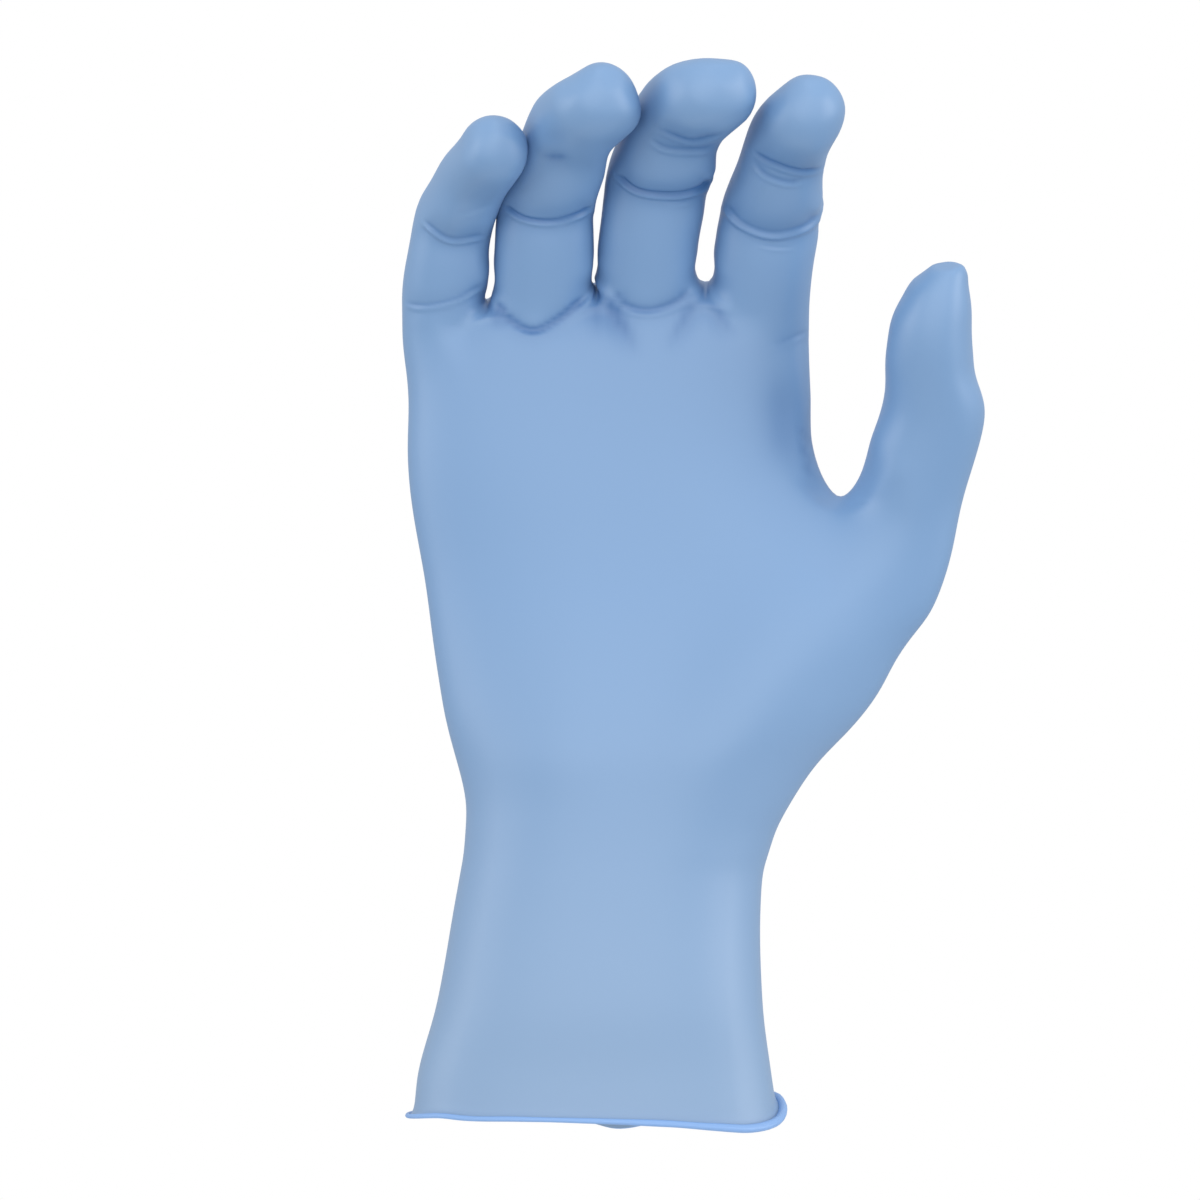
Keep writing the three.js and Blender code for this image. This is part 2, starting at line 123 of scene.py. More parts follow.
SECTIONS = [
    row(-1, CUFF, -0.497, 0.503, [0.5] * 5, [0.5] * 5),
    row(-0.83, CUFF, -0.484, 0.487, [0.52] * 5, [0.52] * 5),
    row(-0.57, CUFF, -0.433, 0.465, [0.57] * 5, [0.57] * 5),
    row(-0.2, WRIST, -0.457, 0.546, [0.46, 0.475, 0.475, 0.475, 0.46], [0.49] * 5),
    row(0, WRIST, -0.427, 0.573, [0.45, 0.475, 0.47, 0.48, 0.46], [0.49] * 5),
    row(0.09, WRIST, -0.42, 0.645, [0.45, 0.49, 0.48, 0.505, 0.475], [0.45, 0.48, 0.47, 0.44, 0.38]),
    row(0.165, PALM, -0.335, 0.55, [0.56, 0.65, 0.63, 0.7, 0.62], [0.55, 0.59, 0.57, 0.5, 0.4]),
    row(0.235, PALM, -0.36, 0.64, [0.54, 0.62, 0.61, 0.72, 0.62], [0.5, 0.56, 0.55, 0.42, 0.3]),
    row(0.34, PALM, -0.385, 0.745, [0.5, 0.56, 0.55, 0.72, 0.62], [0.47, 0.54, 0.52, 0.34, 0.18]),
    row(0.45, PALM, -0.41, 0.85, [0.47, 0.51, 0.5, 0.67, 0.71], [0.46, 0.52, 0.49, 0.32, 0.1]),
    row(0.545, PALM, -0.43, 0.88, [0.46, 0.49, 0.48, 0.58, 0.77], [0.46, 0.5, 0.47, 0.32, 0.04]),
    row(0.63, PALM, -0.452, 0.895, [0.46, 0.48, 0.48, 0.51, 0.8], [0.45, 0.49, 0.47, 0.33, 0.01]),
]
UPPER_SECTIONS = [
    row(0.63, PALM, -0.452, 0.575, [0.46, 0.48, 0.48, 0.48, 0.46], [0.45, 0.48, 0.48, 0.44, 0.36]),
    row(0.72, PALM, -0.457, 0.535, [0.46, 0.465, 0.465, 0.47, 0.46], [0.45, 0.48, 0.48, 0.46, 0.42]),
    row(0.85, PALM, -0.463, 0.522, [0.45, 0.44, 0.44, 0.45, 0.47], [0.43, 0.46, 0.47, 0.46, 0.43]),
    row(1, PALM, -0.475, 0.525, [0.44, 0.42, 0.42, 0.43, 0.46], [0.27, 0.3, 0.31, 0.3, 0.28]),
]

# Height of the rim round the opening. at is the share of the way round, from the front's left end to the
# right, past the right end at 0.45, back along the back, and past the left end at 0.95.
RIM = {
    "at": [0, 0.045, 0.1, 0.2, 0.3, 0.36, 0.41, 0.43, 0.455, 0.477,
           0.5, 0.6, 0.65, 0.68, 0.72, 0.8, 0.9, 0.96, 1],
    "height": [0.65, 0.25, 0.3, 0, -0.6, -1.4, -1.9, -1.2, 1.2, 3.4,
               2.6, -0.8, -2.9, -3.3, -1.8, 0, 0.3, 0, 0.65],
}
# How far the film turns out at the rim, over what height, and below what height points are tried for it
FLARE = 0.9
FLARE_REACH = 1
FLARE_BELOW = 6
# The bead, thicker towards the thumb's side, and how far its middle line stands out from the film
BEAD = {"across": [-40, 0, 25, 40], "radius": [0.52, 0.56, 0.82, 1]}
BEAD_OUT = 1.3
BEAD_SIDES = 18
# The line on the bead where the roll ends: its depth as a share of the radius, and where it lies on the
# bead's section and how wide it is there, in radians from straight outwards
ROLL_LINE = {"depth": 0.16, "at": 0.5, "width": 0.3}
# Waves of the bead's radius round the opening: height as a share of the radius, count, and start in radians
BEAD_WAVES = [{"height": 0.04, "count": 5, "start": 0}, {"height": 0.03, "count": 11, "start": 1}]


def steps(*stretches):
    """Evenly spaced places in each stretch of (start, end, count), without the stretch's start."""
    return [start + (end - start) * k / count for start, end, count in stretches for k in range(1, count + 1)]


# Heights of the net's rings of points, counted as at in SECTIONS, and their places along a finger,
# counted as at in FINGER_SHAPE. ROOT_RINGS more rings lie between the upper palm and the webs.
LOWER_RINGS = [-1] + steps((-1, -0.93, 3), (-0.93, -0.2, 10), (-0.2, 0, 3), (0, 0.585, 14))
UPPER_RINGS = steps((0.63, 0.895, 6))
ROOT_RINGS = 5
FINGER_RINGS = steps((0, 0.45, 8), (0.45, 0.8, 4), (0.8, 1.25, 8), (1.25, 1.75, 5), (1.75, 2.35, 11),
                     (2.35, 2.96, 7))
THUMB_RINGS = steps((0, 1.05, 4), (1.05, 1.75, 4), (1.75, 2.35, 10), (2.35, 2.8, 6), (2.8, 2.96, 3))

# How the net is eased round some places: how far off the easing ends, and how often it is repeated
EASING = {
    "thumb_height": {"reach": 45, "rounds": 6},
    "upper_palm": {"reach": 20, "rounds": 3},
    "thumb_root": {"reach": 30, "rounds": 10},
    "crotch": {"reach": 14, "rounds": 3},
    "crotch_front": {"reach": 16, "rounds": 5},
    "finger_root": {"reach": 16, "rounds": 8},
    "web": {"reach": 8, "rounds": 3},
    "tip": {"reach": 7, "rounds": 2},
}
# Where upper_palm is, counted as at in SECTIONS, and how far crotch_front lies from the crotch
UPPER_PALM_AT = 0.9
CROTCH_FRONT = (0, -10, -9)
# In a round the points nearest to the place, up to EASE_FULL of the reach, move EASE of the way
EASE = 0.5
EASE_FULL = 0.4


def mix(a, b, share):
    return a + (b - a) * share


def smoothstep(value, low, high):
    t = np.clip((value - low) / (high - low), 0, 1)
    return t * t * (3 - 2 * t)


def between(places, values, at):
    """Smooth value of a table's column at a place between its rows."""
    last = len(places) - 1
    k = 0
    while k < last - 1 and at > places[k + 1]:
        k += 1

    def slope(n):
        a, b = max(n - 1, 0), min(n + 1, last)
        return (values[b] - values[a]) / (places[b] - places[a])

    span = places[k + 1] - places[k]
    t = min(max((at - places[k]) / span, 0), 1)
    return (
        (2 * t**3 - 3 * t**2 + 1) * values[k]
        + (t**3 - 2 * t**2 + t) * span * slope(k)
        + (3 * t**2 - 2 * t**3) * values[k + 1]
        + (t**3 - t**2) * span * slope(k + 1)
    )


def along(values, share):
    """Smooth value of a short evenly spaced list at a share of its length."""
    return between([k / (len(values) - 1) for k in range(len(values))], values, share)


def height_at(at):
    return CUFF_LENGTH * (1 + at) if at < 0 else CUFF_LENGTH + PALM_LENGTH * at


def section_ring(rows, at, columns):
    """Points of one section of the cuff or palm, for a ring of columns."""
    places = [r["at"] for r in rows]
    left = between(places, [r["left"] * r["of"]["width"] for r in rows], at)
    right = between(places, [r["right"] * r["of"]["width"] for r in rows], at)

    def stand(side, share):
        return between(places, [along(r[side], share) * r["of"]["depth"] for r in rows], at)

    def rounded(share):
        return (1 - abs(share) ** ROUNDNESS) ** (1 / ROUNDNESS)

    ring = []
    for side, share in columns:
        end = share if side in ("front", "back") else {"left": 0, "right": 1}[side]
        front, back = stand("front", end), stand("back", end)
        middle, half = (back - front) / 2, (back + front) / 2
        if side in ("front", "back"):
            x = mix(left, right, share)
            y = middle + (-1 if side == "front" else 1) * half * rounded(2 * share - 1)
        else:
            x = (left + right) / 2 + (-1 if side == "left" else 1) * (right - left) / 2 * rounded(share)
            y = middle + share * half
        ring.append([x, y, height_at(at)])
    return np.array(ring)


# Columns of a ring: the front from left to right, the right end, the back, and the left end.
# The first column across stands END_SHARE of the width in from the end, and the end's own columns
# SIDE_SHARE of the half depth from the middle. The lower palm's rings have more columns across than
# the upper palm's, since the thumb's are among them.
END_SHARE = 0.08
SIDE_SHARE = 0.36
WIDE_FRONT = 19
PALM_FRONT = 15


def ring_columns(count):
    across = [mix(END_SHARE, 1 - END_SHARE, k / (count - 1)) for k in range(count)]
    turn = [-SIDE_SHARE, 0, SIDE_SHARE]
    return (
        [("front", share) for share in across]
        + [("right", share) for share in turn]
        + [("back", share) for share in reversed(across)]
        + [("left", share) for share in reversed(turn)]
    )


def middle_line(root, digit):
    """The middle line of a finger: a function of the place along it, which gives the point, the direction
    and the length left to the tip."""
    lengths = digit["lengths"]
    joints = [lengths[0], lengths[0] + lengths[1]]
    total = sum(lengths)
    bend = BEND_REACH * digit["breadth"]

    def pointing(travelled):
        first, second = (smoothstep(travelled, joint - bend, joint + bend) for joint in joints)

        def angle(angles):
            return np.radians(mix(mix(angles[0], angles[1], first), angles[2], second))

        lower, aside = angle(digit["tilt"]), angle(digit["lean"])
        return np.stack([np.cos(lower) * np.sin(aside), -np.sin(lower), np.cos(lower) * np.cos(aside)], -1)

    def line(at):
        whole = min(int(at), 2)
        travelled = [0, *joints][whole] + (at - whole) * lengths[whole]
        middles = (np.arange(LINE_STEPS) + 0.5) / LINE_STEPS * travelled
        place = root + pointing(middles).sum(0) * travelled / LINE_STEPS
        return place, pointing(travelled), total - travelled

    return line


# The turns of the points round a finger, counter-clockwise from the front's left point
FINGER_TURNS = np.radians([-120, -90, -60, -30, 0, 30, 60, 90, 120, 150, 180, 210])


def finger_ring(digit, shape, line, at):
    place, direction, to_tip = line(at)
    across = np.array([1.0, 0, 0]) - direction * direction[0]
    across /= np.linalg.norm(across)
    backward = np.cross(direction, across)
    near_tip = min(max(1 - to_tip / (digit["dome"] * digit["breadth"]), 0), 1)
    dome = (1 - near_tip**DOME_ROUNDNESS) ** (1 / DOME_ROUNDNESS)
    slim = mix(1, digit["slim"], smoothstep(at, SLIM_FROM, SLIM_TO))

    def girth(column):
        return between(shape["at"], shape[column], at) * 0.5 * dome

    cosine, sine = np.cos(FINGER_TURNS), np.sin(FINGER_TURNS)
    swell = (np.abs(cosine) ** ROUNDNESS + np.abs(sine) ** ROUNDNESS) ** (-1 / ROUNDNESS)
    nail_right, nail_back = (share * digit["breadth"] * (1 - dome) for share in digit["nail"])
    aside = girth("breadth") * digit["breadth"] * slim * swell * cosine + nail_right
    depth = np.where(sine < 0, girth("front"), girth("back")) * digit["depth"]
    behind = depth * swell * sine + nail_back
    return place + np.outer(aside, across) + np.outer(behind, backward)


class Net:
    """Points and four-sided faces. Each point also holds how much it belongs to each of the five digits,
    numbered from the little finger to the thumb. links names the points above and below each point."""

    def __init__(self):
        self.points = []
        self.faces = []
        self.links = {}

    def add(self, places, number=None):
        start = len(self.points)
        for place in places:
            share = [1.0 if k == number else 0.0 for k in range(5)]
            self.points.append([*place, *share])
        return list(range(start, len(self.points)))

    def join(self, lower, upper):
        for k in range(len(lower)):
            n = (k + 1) % len(lower)
            self.faces.append([lower[k], lower[n], upper[n], upper[k]])
            self.links.setdefault(lower[k], []).append(upper[k])
            self.links.setdefault(upper[k], []).append(lower[k])

    def place(self, k):
        return np.array(self.points[k][:3])

    def close_tip(self, ring, peak, number):
        """Closes a ring of twelve with three by three faces."""

        def corner(a, b, c):
            """A point between three of the ring's and the peak."""
            return (self.place(ring[a]) + self.place(ring[b]) + self.place(ring[c]) + 2 * peak) / 5

        a, b, c, d = self.add([corner(0, 1, 11), corner(2, 3, 4), corner(5, 6, 7), corner(8, 9, 10)], number)
        r = ring
        self.faces += [[r[0], r[1], a, r[11]], [r[1], r[2], b, a], [r[2], r[3], r[4], b]]
        self.faces += [[r[4], r[5], c, b], [r[5], r[6], r[7], c], [r[7], r[8], d, c]]
        self.faces += [[r[8], r[9], r[10], d], [r[10], r[11], a, d], [a, b, c, d]]

    def grow(self, ring, digit, number, shape, line, places):
        """A finger or the thumb, from its root ring to its tip."""
        for at in places:
            following = self.add(finger_ring(digit, shape, line, at), number)
            self.join(ring, following)
            ring = following
        self.close_tip(ring, line(3)[0], number)

    def relax(self, centre, reach, rounds):
        """Eases the points round a place towards the middle of their neighbours."""
        near = {}
        for face in self.faces:
            for k in range(4):
                near.setdefault(face[k], set()).add(face[(k + 1) % 4])
                near.setdefault(face[(k + 1) % 4], set()).add(face[k])
        self.ease({k: sorted(others) for k, others in near.items()}, centre, reach, rounds)

    def ease_along(self, centre, reach, rounds):
        """Eases the points round a place towards the middle of their neighbours above and below, which keeps
        girths."""
        pairs = {k: others for k, others in self.links.items() if len(others) == 2}
        self.ease(pairs, centre, reach, rounds)

    def ease(self, neighbours, centre, reach, rounds):
        """Moves the points near the centre towards the middle of their neighbours. A coordinate of the centre
        that is None doesn't count."""
        share = {}
        for k in neighbours:
            away = [a - b for a, b in zip(self.place(k), centre) if b is not None]
            weight = EASE * float(smoothstep(np.linalg.norm(away), reach, EASE_FULL * reach))
            if weight > 0:
                share[k] = weight
        for _ in range(rounds):
            moved = {k: sum(self.place(n) for n in neighbours[k]) / len(neighbours[k]) for k in share}
            for k, place in moved.items():
                self.points[k][:3] = mix(self.place(k), place, share[k])


def lower_rings(net):
    """The rings of the cuff and of the lower palm, joined."""
    rings = []
    for at in LOWER_RINGS:
        ring = section_ring(SECTIONS, at, ring_columns(WIDE_FRONT))
        fade = 1 - smoothstep(height_at(at), 0, RIM_REACH)
        ring[:, 2] += fade * rim_rise(np.arange(len(ring)) / len(ring))
        rings.append(net.add(ring))
    for low, high in zip(rings, rings[1:]):
        net.join(low, high)
    return rings


def finger_roots():
    """The fingers' middle lines and their root rings, side by side."""
    lines = []
    edge = UPPER_SECTIONS[-1]["left"] * PALM["width"]
    for finger in FINGERS:
        drop, forward = (share * finger["breadth"] for share in finger["root"])
        root = np.array([edge + finger["breadth"] / 2, -forward, height_at(1) - drop])
        lines.append(middle_line(root, finger))
        edge += finger["breadth"] + WEB_GAP
    return lines, [finger_ring(finger, FINGER_SHAPE, line, 0) for finger, line in zip(FINGERS, lines)]


def top_ring(net, roots):
    """The ring round all four root rings, and the middle point of the web between each two."""
    webs = [[(roots[k][3 + n] + roots[k + 1][11 - n]) / 2 for n in range(3)] for k in range(3)]
    for web in webs:
        web[0][1] -= WEB_FORWARD
    places = []
    for k in range(4):
        places += [*roots[k][:3], webs[k][0]] if k < 3 else list(roots[k][:6])
    for k in (3, 2, 1, 0):
        places += [*roots[k][6:9], webs[k - 1][2]] if k > 0 else list(roots[k][6:])
    return net.add(places), net.add([web[1] for web in webs])


def upper_rings(net, top):
    """The rings from the thumb's crotch up to the top ring, whose columns slide under its points."""
    last = UPPER_SECTIONS[-1]
    top_left, top_width = last["left"] * PALM["width"], (last["right"] - last["left"]) * PALM["width"]
    rings = []
    for at in UPPER_RINGS:
        rise = smoothstep(at, THUMB_HEIGHT / PALM_LENGTH, 1)
        columns = []
        for k, (side, share) in enumerate(ring_columns(PALM_FRONT)):
            goal = (net.points[top[k]][0] - top_left) / top_width
            columns.append((side, mix(share, goal, rise) if side in ("front", "back") else share))
        rings.append(net.add(section_ring(UPPER_SECTIONS, at, columns)))
    upper_end = rings[-1]
    for k in range(1, ROOT_RINGS + 1):
        share = k / (ROOT_RINGS + 1)
        rings.append(net.add([mix(net.place(a), net.place(b), share) for a, b in zip(upper_end, top)]))
    return rings


def glove_net():
    """The coarse net of the outside, from the rim to the tips.

    The upper palm's rings have 36 points: 15 in front, 3 at the right end, 15 behind and 3 at the left end.
    A finger's ring has 12: 5 in front, 1 on the right, 5 behind and 1 on the left."""
    net = Net()
    lower = lower_rings(net)

    # The crotch of the thumb, where the wide ring parts into the palm's ring and the thumb's
    thumb_root = np.array([THUMB_ROOT["right"] * PALM["width"], -THUMB_ROOT["forward"] * PALM_DEPTH,
                           CUFF_LENGTH + THUMB_HEIGHT])
    thumb_line = middle_line(thumb_root, THUMB)
    palm_split = section_ring(UPPER_SECTIONS, THUMB_HEIGHT / PALM_LENGTH, ring_columns(PALM_FRONT))
    thumb_split = finger_ring(THUMB, THUMB_SHAPE, thumb_line, 0)
    crotch = [(palm_split[15 + k] + thumb_split[11 - k]) / 2 - [0, 0, CROTCH_DIP] for k in range(3)]
    split = net.add([*palm_split[:15], crotch[0], *thumb_split[:9], crotch[2], *palm_split[18:]])
    [crotch_middle] = net.add([crotch[1]])
    net.join(lower[-1], split)
    palm_root = split[:16] + [crotch_middle] + split[25:]
    thumb_start = split[16:25] + [split[25], crotch_middle, split[15]]
    net.grow(thumb_start, THUMB, 4, THUMB_SHAPE, thumb_line, THUMB_RINGS)

    # The upper palm, and the fingers, which part at the webs
    lines, roots = finger_roots()
    top, web_middles = top_ring(net, roots)
    rings = [palm_root, *upper_rings(net, top), top]
    for low, high in zip(rings, rings[1:]):
        net.join(low, high)
    for k, (finger, line) in enumerate(zip(FINGERS, lines)):
        right = [top[4 * k + 3], web_middles[k], top[29 - 4 * k]] if k < 3 else top[15:18]
        left = [top[33 - 4 * k], web_middles[k - 1], top[4 * k - 1]] if k > 0 else top[33:]
        ring = top[4 * k:4 * k + 3] + right + top[30 - 4 * k:33 - 4 * k] + left
        net.grow(ring, finger, k, FINGER_SHAPE, line, FINGER_RINGS)

    net.ease_along((None, None, CUFF_LENGTH + THUMB_HEIGHT), **EASING["thumb_height"])
    net.ease_along((None, None, height_at(UPPER_PALM_AT)), **EASING["upper_palm"])
    net.ease_along(thumb_root, **EASING["thumb_root"])
    net.relax(net.place(crotch_middle), **EASING["crotch"])
    net.relax(net.place(crotch_middle) + CROTCH_FRONT, **EASING["crotch_front"])
    for line in lines:
        net.ease_along(line(0)[0], **EASING["finger_root"])
    for middle in web_middles:
        net.relax(net.place(middle), **EASING["web"])
    for line in [*lines, thumb_line]:
        net.relax(line(3)[0], **EASING["tip"])
    return np.array(net.points), np.array(net.faces)


def rim_rise(share):
    """Height of the rim at a share of the way round, from the front's left end counter-clockwise."""
    return np.array([between(RIM["at"], RIM["height"], s) for s in np.atleast_1d(share)])


def edges_of(faces):
    """The edges, the edge of each face's corner, and how many faces meet at each edge."""
    pairs = np.stack([faces, np.roll(faces, -1, axis=1)], -1).reshape(-1, 2)
    edges, of_corner, count = np.unique(np.sort(pairs, 1), axis=0, return_inverse=True, return_counts=True)
    return edges, of_corner.reshape(faces.shape), count


def gathered(size, where, what):
    """Sum of what at each place that where names."""
    total = np.zeros((size, what.shape[-1]))
    np.add.at(total, where.ravel(), what.reshape(-1, what.shape[-1]))
    return total


def refine(points, faces):
    """One Catmull-Clark subdivision of a net of four-sided faces."""
    edges, of_corner, count = edges_of(faces)
    n, e = len(points), len(edges)
    middle = points[faces].mean(1)
    corners = np.repeat(middle[:, None], 4, axis=1)
    edge_middle = points[edges].mean(1)
    rim = count == 1
    edge_point = np.where(rim[:, None], edge_middle, (edge_middle + gathered(e, of_corner, corners) / 2) / 2)
    valence = gathered(n, edges, np.ones((e, 2, 1)))
    face_mean = gathered(n, faces, corners) / gathered(n, faces, np.ones((len(faces), 4, 1)))
    edge_mean = gathered(n, edges, np.repeat(edge_middle[:, None], 2, axis=1)) / valence
    moved = (face_mean + 2 * edge_mean + (valence - 3) * points) / valence
    rim_sum = gathered(n, edges[rim], np.repeat(edge_middle[rim][:, None], 2, axis=1))
    on_rim = gathered(n, edges[rim], np.ones((rim.sum(), 2, 1)))[:, 0] > 0
    moved[on_rim] = rim_sum[on_rim] / 4 + points[on_rim] / 2
    new_points = np.concatenate([moved, edge_point, middle])
    edge_at, face_at = of_corner + n, np.arange(len(faces)) + n + e
    parts = [
        np.stack([faces[:, k], edge_at[:, k], face_at, edge_at[:, k - 1]], 1)
        for k in range(4)
    ]
    return new_points, np.concatenate(parts)


def tightened(points, faces, rounds=4):
    """The net pushed out so that its subdivided surface comes back to where the net was."""
    goal = points.copy()
    moved = points.copy()
    for _ in range(rounds):
        smooth, _ = refine(*refine(moved, faces))
        moved[:, :3] += goal[:, :3] - smooth[:len(points), :3]
    return moved


def normals_of(points, faces):
    """Outward direction at each point."""
    p = points[:, :3]
    across = np.cross(p[faces[:, 2]] - p[faces[:, 0]], p[faces[:, 3]] - p[faces[:, 1]])
    total = gathered(len(p), faces, np.repeat(across[:, None], 4, axis=1))
    return total / np.linalg.norm(total, axis=1, keepdims=True)


# Small pushes that bring the outline to its true course. at is a place across and up as the camera sees it,
# push is how far the film round it moves across and up, and reach how wide that is.
# of is the digit that moves, counted from the little finger, or None for all of the film.
def trim(of, at, push, reach):
    return {"of": of, "at": at, "push": push, "reach": reach}


TRIMS = [
    trim(0, (-28, 196.5), (0.5, -0.5), 4),
    trim(0, (-15.5, 199), (-0.5, -0.3), 3),
    trim(0, (-37, 178), (0.6, 0), 6),
    trim(None, (-39, 162), (0.4, 0), 5),
    trim(0, (-21, 176), (-0.6, 0), 5),
    trim(0, (-21.5, 167.5), (0.9, 0), 3.5),
    trim(None, (0.5, 166.5), (0, 0.8), 3),
    trim(1, (-0.5, 169), (0.5, 0), 3.5),
    trim(2, (1, 169), (-0.9, 0), 3.5),
    trim(1, (-11.5, 205), (-0.4, 0.3), 4),
    trim(1, (-4.8, 209.5), (0.6, -0.8), 3.5),
    trim(1, (2.2, 212), (0, 0.6), 3),
    trim(1, (8.7, 207), (-0.7, -0.3), 3.5),
    trim(1, (3.8, 195.5), (-2, 0.2), 4),
    trim(1, (0.2, 183.4), (-0.9, 0), 7),
    trim(2, (13.7, 209.6), (-0.5, 0.5), 4),
    trim(2, (29.4, 211.6), (0.5, 0.5), 3.5),
    trim(2, (31.4, 201.5), (-0.4, 0.4), 3),
    trim(2, (28, 197.5), (-1, 0.9), 4),
    trim(2, (24.8, 193.4), (-0.6, 0), 3.5),
    trim(2, (24.2, 189.6), (0.5, 0), 1.8),
    trim(2, (1.6, 175), (-0.8, 0), 7),
    trim(2, (21.4, 174), (-1, 0), 7),
    trim(None, (22.4, 168), (0, 0.6), 3),
    trim(3, (24.2, 172), (-0.3, 0), 5),
    trim(3, (36.5, 207.5), (0.7, -0.7), 4),
    trim(3, (50, 206.5), (-0.5, -0.2), 4),
    trim(3, (50, 199.5), (-0.8, 0), 4),
    trim(3, (48.6, 194.4), (-1.4, 0), 4.5),
    trim(3, (46.5, 187.4), (-0.4, 0), 4),
    trim(3, (46.6, 183.6), (0.5, 0), 1.8),
    trim(3, (45.6, 180.6), (-0.3, 0), 1.6),
    trim(None, (43.5, 170), (-0.3, 0), 9),
    trim(4, (61.7, 166), (0.8, -0.2), 5),
    trim(4, (65.7, 172), (0.2, -0.7), 4),
    trim(4, (70.7, 172.7), (0, -0.4), 3),
    trim(4, (77, 156), (-1, 0), 6),
    trim(4, (77.6, 149), (-1.2, 0), 4.5),
    trim(4, (75.2, 170.5), (0.8, 0.4), 2.2),
    trim(4, (73.7, 172.5), (-0.3, -0.6), 3),
    trim(4, (58.6, 152), (-0.5, 0), 4),
    trim(None, (57, 141), (0.8, 0), 5),
    trim(None, (50, 127), (0, -3.5), 7),
    trim(None, (44, 137), (-0.5, 0), 6),
    trim(None, (44.5, 131.5), (-1.5, 0), 4),
    trim(None, (54.5, 131), (1.5, 0), 4.5),
    trim(None, (44.8, 129.3), (0.6, -2), 2.8),
    trim(None, (54.5, 129.3), (-0.8, -2), 2.8),
    trim(None, (-37.7, 145), (0.8, 0), 9),
    trim(None, (-34.5, 108), (0.5, 0), 12),
    trim(None, (74.8, 122), (-0.4, 0), 8),
    trim(None, (62.7, 93.7), (-1.1, 0.7), 7),
]


# Knuckles on the back of the hand: soft bumps at places across and up, as high as this and this wide.
# They grow to their full height where the film is this far behind the middle of the hand.
KNUCKLES = {"at": [(-29, 141), (-9, 148), (12, 150), (33, 146)], "height": 1.3, "reach": 8, "behind": 8}


# Folds of the film. Each runs along a few points (across, up) from left to right, as the camera sees them.
# of is the digit that it lies on, counted from the little finger, or None on the palm.
# groove is the depth of the crease on its upper side, lip the height of the roll on its lower side,
# and width their half width. dent is the depth of the broad hollow round the fold, and spread its half width.
# fade is the share of its length over which each end runs out.
def fold(of, groove, lip, width, dent, spread, fade, path):
    return {"of": of, "groove": groove, "lip": lip, "width": width, "dent": dent, "spread": spread,
            "fade": fade, "path": path}


